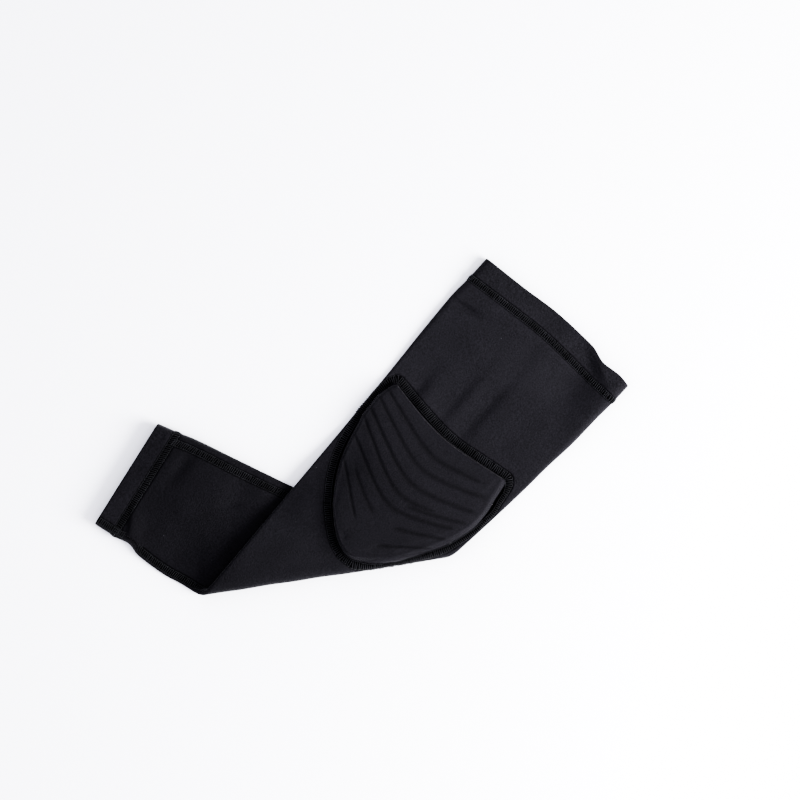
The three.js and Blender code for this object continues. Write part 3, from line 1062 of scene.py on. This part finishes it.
def joined(name, meshes, material):
    """One piece from several meshes."""
    points = []
    faces = []
    count = 0
    for mesh in meshes:
        co = np.zeros(len(mesh.vertices) * 3, np.float32)
        mesh.vertices.foreach_get("co", co)
        points.append(rest_on_table(co.reshape(-1, 3), THREAD_REST * MM))
        faces += [[count + v for v in polygon.vertices] for polygon in mesh.polygons]
        count += len(mesh.vertices)
        bpy.data.meshes.remove(mesh)
    return add_object(name, smooth_mesh(name, np.concatenate(points), faces, material))


def band_rows(line, closed, widths=None):
    """The rows of stitches of a seam: bars across the band, and needle stitches down both sides."""
    chance = np.random.default_rng(SEAM_JITTER["seed"])
    if widths is None:
        widths = np.full(len(line), BAND["width"])

    def row(pitch):
        places, ways = spaced(line, pitch, closed)
        width = widths[nearest_on(line, places)[0]]
        return places, ways, square_to(ways), width[:, None]

    places, _, across, width = row(BAND["pitch"])
    shift = SEAM_JITTER["place"] * chance.standard_normal((len(places), 2))
    stretch = 1 + SEAM_JITTER["length"] * chance.standard_normal(len(places))
    stretch = width[:, 0] / BAND["width"] * stretch
    bar = {**BAND, "length": BAND["width"]}
    rows = [(*on_sleeve(places + shift, across, 0.0), stretch, bar)]
    places, ways, across, width = row(NEEDLE["pitch"])
    for side in (-1, 1):
        beside = places + side * (width / 2 - NEEDLE["inset"]) * across
        stretch = 1 + SEAM_JITTER["length"] * chance.standard_normal(len(places))
        rows.append((*on_sleeve(beside, ways, NEEDLE["above"]), stretch, NEEDLE))
    return rows


def pad_seam(tree, material):
    """The flat seam round the pad."""
    gap, width = seam_round_pad()
    line = PAD_LINE + (gap + width / 2)[:, None] * PAD_OUT
    return sew("pad_seam", tree, band_rows(line, True, width), material)


def hem_seam(name, tree, along, material):
    """A hem's seam, all round the tube."""
    stops = ring_stops(np.full(1, along))
    reach = np.linspace(stops[0][0], stops[-1][0], HEM_LINE_CUTS)
    line = np.stack([np.full(len(reach), along), reach], axis=1)
    return sew(name, tree, band_rows(line, False), material)


def left_long_seam(tree, material):
    """The long seam that shows on the wrist hem too, with a stretch that the puffed cloth covers."""
    rows = []
    for start, end in ((UPPER_HEM + GAP, COVERED_SEAM[0]), (COVERED_SEAM[1], LENGTH - PLY)):
        along = np.linspace(start, end, round((end - start) / ROW_STEP) + 1)
        rows += band_rows(np.stack([along, seam_reach(along)[0]], axis=1), False)
    return sew("left_long_seam", tree, rows, material)


def right_long_seam(tree, material):
    """The long seam beside the tapering edge."""
    along = row_places()
    line = np.stack([along, seam_reach(along)[1]], axis=1)
    return sew("right_long_seam", tree, band_rows(line, False), material)


def knit_weave_group():
    """Columns of V-shaped knit loops, from a map in metres: their height."""
    inputs = {"Map": "Vector", "Column Width": "Float", "Row Height": "Float"}
    group, given, result = new_group("knit_weave", "ShaderNodeTree", inputs, {"Height": "Float"})
    split = add_node(group, "ShaderNodeSeparateXYZ", {0: given["Map"]})
    column = sum_of(group, "DIVIDE", split[0], given["Column Width"])
    row = sum_of(group, "DIVIDE", split[1], given["Row Height"])
    fold = sum_of(group, "PINGPONG", column, 0.5)
    leg = sum_of(group, "SINE", sum_of(group, "MULTIPLY", fold, 2 * math.pi))
    slanted = sum_of(group, "FRACT", sum_of(group, "ADD", row, fold))
    loop = sum_of(group, "SINE", sum_of(group, "MULTIPLY", slanted, math.pi))
    raised = sum_of(group, "MULTIPLY_ADD", loop, LOOP["swell"], 1 - LOOP["swell"])
    feed(group, result, {"Height": sum_of(group, "MULTIPLY", leg, raised)})
    return group


def lint_specks(group, place):
    """How much of a place is covered by a speck of lint."""
    specks = add_node(group, "ShaderNodeTexVoronoi", {"Vector": place, "Scale": LINT["scale"]})
    close = sum_of(group, "LESS_THAN", specks["Distance"], LINT["size"])
    pick = add_node(group, "ShaderNodeSeparateColor", {0: specks["Color"]})[0]
    few = sum_of(group, "GREATER_THAN", pick, LINT["left_out"])
    return sum_of(group, "MULTIPLY", sum_of(group, "MULTIPLY", close, few), LINT["cover"])


def centred_noise(group, place, pattern):
    """Noise with its middle at nought."""
    sources = {"Vector": place, "Scale": pattern["scale"], "Detail": pattern["detail"]}
    return sum_of(group, "SUBTRACT", add_node(group, "ShaderNodeTexNoise", sources)["Fac"], 0.5)


def cloth_tone_group():
    """A cloth's colour with painted shade towards the forearm, mottling, fibre grain and a few specks of
    lint.
    """
    inputs = {"Colour": "Color", "Map": "Vector", "Mottle": "Float", "Grain": "Float", "Fore Shade": "Float"}
    outputs = {"Colour": "Color", "Grain": "Float"}
    group, given, result = new_group("cloth_tone", "ShaderNodeTree", inputs, outputs)
    place = add_node(group, "ShaderNodeTexCoord")["Object"]
    along = add_node(group, "ShaderNodeSeparateXYZ", {0: given["Map"]})[1]
    # Painted shade: the colour darkens from the upper arm towards the forearm
    painted_fore_shade = eased(group, along, PAINTED_FORE_SHADE_SPAN["start"], PAINTED_FORE_SHADE_SPAN["end"], 1.0, given["Fore Shade"])
    grain = centred_noise(group, place, GRAIN)
    patches = centred_noise(group, place, MOTTLE)
    mottle = sum_of(group, "MULTIPLY_ADD", patches, given["Mottle"], 1.0)
    tone = sum_of(group, "MULTIPLY_ADD", grain, given["Grain"], mottle)
    tone = sum_of(group, "MULTIPLY", tone, painted_fore_shade)
    blend = group.nodes.new("ShaderNodeMix")
    blend.data_type = "RGBA"
    feed(group, blend, {"Factor": lint_specks(group, place)})
    cloth, lint = of_type(blend.inputs, "RGBA")
    join(group, scaled(group, given["Colour"], tone), cloth)
    join(group, LINT["colour"], lint)
    feed(group, result, {"Colour": of_type(blend.outputs, "RGBA")[0], "Grain": grain})
    return group


def new_material(name):
    """A material with one plain shader."""
    material = bpy.data.materials.new(name)
    material.use_nodes = True
    tree = material.node_tree
    tree.nodes.clear()
    shader = tree.nodes.new("ShaderNodeBsdfPrincipled")
    add_node(tree, "ShaderNodeOutputMaterial", {"Surface": shader.outputs[0]})
    return material, tree, shader


def seam_pull_and_shade_group():
    """Cloth at a seam or groove, from its distance off the middle: its painted shade, and how deep it is
    drawn in.
    """
    inputs = dict.fromkeys(("Gap", "Half Width", "Fade", "Dark", "Drawn"), "Float")
    outputs = {"Shade": "Float", "Height": "Float"}
    group, given, result = new_group("seam_pull_and_shade", "ShaderNodeTree", inputs, outputs)
    off_row = sum_of(group, "SUBTRACT", given["Gap"], given["Half Width"])
    # Painted shade: the cloth darkens in and beside a seam, its trench, or a groove
    shade = eased(group, off_row, SHADE_START, given["Fade"], given["Dark"], 1.0)
    near = sum_of(group, "MULTIPLY", off_row, DRAWN_NARROW)
    squared = sum_of(group, "MULTIPLY", near, near)
    drawn = sum_of(group, "EXPONENT", sum_of(group, "MULTIPLY", squared, -1.0))
    deep = sum_of(group, "MULTIPLY", given["Drawn"], -1.0)
    feed(group, result, {"Shade": shade, "Height": sum_of(group, "MULTIPLY", drawn, deep)})
    return group


def knit_material(name, groups, line):
    """Stretch knit: loops, mottled colour, and painted shade towards the forearm and along its seams or
    grooves.
    """
    knit = KNITS[name]
    material, tree, shader = new_material(name)
    place = add_node(tree, "ShaderNodeUVMap", uv_map="cloth_map")[0]
    gap = add_node(tree, "ShaderNodeAttribute", attribute_name="seam_gap")["Fac"]
    sources = {
        "tone": {
            "Colour": (*knit["colour"], 1),
            "Map": place,
            "Mottle": MOTTLE["amount"],
            "Grain": knit["grain"],
            "Fore Shade": knit["fore"],
        },
        "weave": {
            "Map": place,
            "Column Width": knit["column"] * MM,
            "Row Height": LOOP["row"] * knit["column"] * MM,
        },
        "pull": {
            "Gap": gap,
            "Half Width": line["half"],
            "Fade": line["fade"],
            "Dark": line["dark"],
            "Drawn": line["drawn"],
        },
    }
    tone, weave, pull = [
        add_node(tree, "ShaderNodeGroup", fed, node_tree=groups[key]) for key, fed in sources.items()
    ]
    height = sum_of(tree, "MULTIPLY", weave["Height"], LOOP["height"])
    height = sum_of(tree, "MULTIPLY_ADD", tone["Grain"], GRAIN["bump"], height)
    height = sum_of(tree, "ADD", height, pull["Height"])
    bump = {"Distance": MM, "Strength": 1.0, "Height": height}
    finish = {
        "Base Color": scaled(tree, tone["Colour"], pull["Shade"]),
        "Roughness": sum_of(tree, "MULTIPLY_ADD", tone["Grain"], GRAIN["rough"], knit["rough"]),
        "Normal": add_node(tree, "ShaderNodeBump", bump)[0],
        "Specular IOR Level": knit["gloss"],
        "Sheen Weight": SHEEN["weight"],
        "Sheen Roughness": SHEEN["rough"],
    }
    feed(tree, shader, finish)
    return material


def thread_material(name, tone):
    """Bulky polyester thread with a twist, worn in patches round its tone; a tone below one is painted shade.
    """
    material, tree, shader = new_material(name)
    place = add_node(tree, "ShaderNodeTexCoord")["Object"]
    wave = {"Vector": place, "Scale": TWIST["scale"], "Distortion": TWIST["distortion"]}
    bands = {"wave_type": "BANDS", "bands_direction": "DIAGONAL"}
    twist = add_node(tree, "ShaderNodeTexWave", wave, **bands)["Fac"]
    ramp = tree.nodes.new("ShaderNodeValToRGB")
    for stop, colour in zip(ramp.color_ramp.elements, TWIST_TONES):
        stop.color = colour
    feed(tree, ramp, {0: twist})
    patches = add_node(tree, "ShaderNodeTexNoise", {"Vector": place, "Scale": WORN["scale"]})["Fac"]
    worn = sum_of(tree, "MULTIPLY_ADD", patches, WORN["range"] * tone, WORN["start"] * tone)
    bump = {"Distance": TWIST["bump"] * MM, "Height": twist}
    finish = {
        "Base Color": scaled(tree, ramp.outputs[0], worn),
        "Normal": add_node(tree, "ShaderNodeBump", bump)[0],
        "Roughness": THREAD_SHINE["rough"],
        "Specular IOR Level": THREAD_SHINE["gloss"],
    }
    feed(tree, shader, finish)
    return material


def photo_camera():
    """The camera, looking straight down."""
    data = bpy.data.cameras.new("photo_camera")
    data.sensor_width = VIEW["sensor"]
    data.lens = VIEW["sensor"] * VIEW["height"] / VIEW["width"]
    camera = add_object("photo_camera", data)
    camera.location = (*VIEW["middle"], VIEW["height"])
    camera.rotation_euler = (0, 0, math.radians(VIEW["turn"]))
    bpy.context.scene.camera = camera


def soft_key():
    """A large soft light from the photograph's right and a little below."""
    turn = math.radians(KEY["azimuth"])
    rise = math.radians(KEY["elevation"])
    flat = KEY["distance"] * math.cos(rise)
    data = bpy.data.lights.new("soft_key", "AREA")
    data.shape = "DISK"
    data.size = KEY["size"]
    data.energy = KEY["power"]
    light = add_object("soft_key", data)
    light.location = (flat * math.cos(turn), flat * math.sin(turn), KEY["distance"] * math.sin(rise))
    light.rotation_euler = (math.pi / 2 - rise, 0, turn + math.pi / 2)


def fill_world():
    """Even light from all round."""
    world = bpy.data.worlds.new("fill_world")
    world.use_nodes = True
    tree = world.node_tree
    feed(tree, tree.nodes["Background"], {"Color": FILL_COLOUR, "Strength": FILL_STRENGTH})
    bpy.context.scene.world = world


def pale_floor():
    """The plain floor, just below the sleeve."""
    half = FLOOR["size"] / 2
    mesh = bpy.data.meshes.new("floor")
    corners = [(-half, -half), (half, -half), (half, half), (-half, half)]
    mesh.from_pydata([(x, y, -FLOOR["below"] * MM) for x, y in corners], [], [(0, 1, 2, 3)])
    material, tree, shader = new_material("pale_floor")
    feed(tree, shader, {"Base Color": FLOOR["colour"], "Roughness": FLOOR["rough"]})
    feed(tree, shader, {"Specular IOR Level": FLOOR["gloss"]})
    mesh.materials.append(material)
    add_object("floor", mesh)


def make_cloth():
    """The pieces of cloth, by short names."""
    groups = {"weave": knit_weave_group(), "tone": cloth_tone_group(), "pull": seam_pull_and_shade_group()}
    sleeve_knit = knit_material("sleeve_knit", groups, SEWN)
    hem_knit = knit_material("hem_knit", groups, SEWN)
    pad_knit = knit_material("pad_knit", groups, GROOVED)
    return {
        "front": front_cloth(sleeve_knit),
        "back": back_cloth(sleeve_knit),
        "pad": pad_cover(pad_knit),
        "upper": hem_cloth("upper_hem_cloth", UPPER_HEM, 0.0, hem_knit),
        "wrist": hem_cloth("wrist_hem_cloth", LENGTH - WRIST_HEM, LENGTH, hem_knit),
    }


def make_threads():
    """The pieces of thread, by short names."""
    thread = thread_material("seam_thread", 1.0)
    # A copy of the thread darkened by painted shade, for the seams at the forearm
    shaded_fore_thread = thread_material("shaded_fore_seam_thread", FORE_THREAD_SHADE)
    tree = stitch_tree()
    return {
        "pad": pad_seam(tree, thread),
        "upper": hem_seam("upper_hem_seam", tree, UPPER_STITCH, thread),
        "wrist": hem_seam("wrist_hem_seam", tree, WRIST_STITCH, shaded_fore_thread),
        "left": left_long_seam(tree, shaded_fore_thread),
        "right": right_long_seam(tree, shaded_fore_thread),
    }


def place_in_frame(cloth, threads):
    """Rides the pieces on the part's body, in place of its solids."""
    for piece in (*cloth.values(), *threads.values()):
        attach(piece, "root")
    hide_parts("front_panel")
    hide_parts("back_panel")
    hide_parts("elbow_pad")
    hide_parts("upper_hem")
    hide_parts("wrist_hem")


def declare_panels():
    """Works out the front cloth's flat width at each row, and uses it no further."""
    rows = row_places()
    front_width = np.ptp(front_columns(rows), axis=1)


def build_sleeve():
    """Makes the sleeve's pieces and rides them on the part's body in place of its solids."""
    cloth = make_cloth()
    threads = make_threads()
    place_in_frame(cloth, threads)
    declare_panels()


PAD_LINE, PAD_OUT = pad_outline()

bpy.context.scene.view_settings.view_transform = "AgX"
bpy.context.scene.view_settings.look = "AgX - Very High Contrast"
photo_camera()
fill_world()
soft_key()
pale_floor()
build_sleeve()
